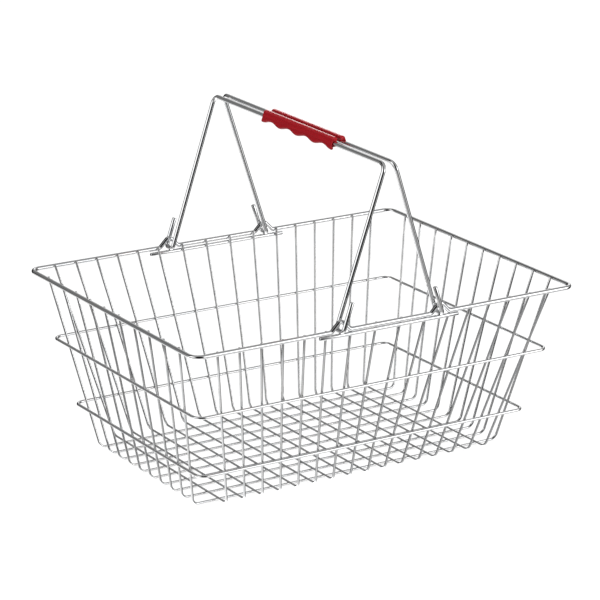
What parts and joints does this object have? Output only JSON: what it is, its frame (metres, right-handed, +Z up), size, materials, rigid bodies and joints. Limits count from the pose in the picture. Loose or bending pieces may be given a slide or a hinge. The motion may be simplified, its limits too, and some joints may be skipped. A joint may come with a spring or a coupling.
{
  "type": "wire shopping basket",
  "caption": "Welded chrome wire hand basket with tapered grid sides, a rim ring, two band rings, and two hooked swing handles with red finger grips.",
  "frame": {"origin": "on the floor, at the middle of the basket bottom", "axes": "+X along the long side, +Y across the basket towards its back long side, +Z up; shown with both handles raised"},
  "size_m": [0.4344, 0.3356, 0.3334],
  "materials": {
    "frame_wire_chrome": "bright chrome plate",
    "body_wire_chrome": "bright chrome plate",
    "grip_plastic": "gloss"
  },
  "bodies": {
    "basket": {"rim_ring": "frame_wire_chrome", "middle_band": "frame_wire_chrome", "low_band": "frame_wire_chrome", "stay_rod_front": "frame_wire_chrome", "stay_rod_back": "frame_wire_chrome", "cross_wire_01": "body_wire_chrome", "cross_wire_02": "body_wire_chrome", "cross_wire_03": "body_wire_chrome", "cross_wire_04": "body_wire_chrome", "cross_wire_05": "body_wire_chrome", "cross_wire_06": "body_wire_chrome", "cross_wire_07": "body_wire_chrome", "cross_wire_08": "body_wire_chrome", "cross_wire_09": "body_wire_chrome", "cross_wire_10": "body_wire_chrome", "cross_wire_11": "body_wire_chrome", "cross_wire_12": "body_wire_chrome", "cross_wire_13": "body_wire_chrome", "cross_wire_14": "body_wire_chrome", "cross_wire_15": "body_wire_chrome", "cross_wire_16": "body_wire_chrome", "long_wire_01": "body_wire_chrome", "long_wire_02": "body_wire_chrome", "long_wire_03": "body_wire_chrome", "long_wire_04": "body_wire_chrome", "long_wire_05": "body_wire_chrome", "long_wire_06": "body_wire_chrome", "long_wire_07": "body_wire_chrome", "long_wire_08": "body_wire_chrome", "long_wire_09": "body_wire_chrome", "long_wire_10": "body_wire_chrome"},
    "handle_left": {"left_handle_wire": "frame_wire_chrome", "left_handle_grip": "grip_plastic"},
    "handle_right": {"right_handle_wire": "frame_wire_chrome", "right_handle_grip": "grip_plastic"}
  },
  "joints": [
    {"name": "left_handle_swing", "type": "hinge", "parent": "basket", "child": "handle_left", "pos_m": [-0.0564, 0, 0.1733], "axis": [0, 1, 0], "range_deg": [-106, 0]},
    {"name": "right_handle_swing", "type": "hinge", "parent": "basket", "child": "handle_right", "pos_m": [0.0564, 0, 0.1733], "axis": [0, 1, 0], "range_deg": [0, 106]}
  ]
}
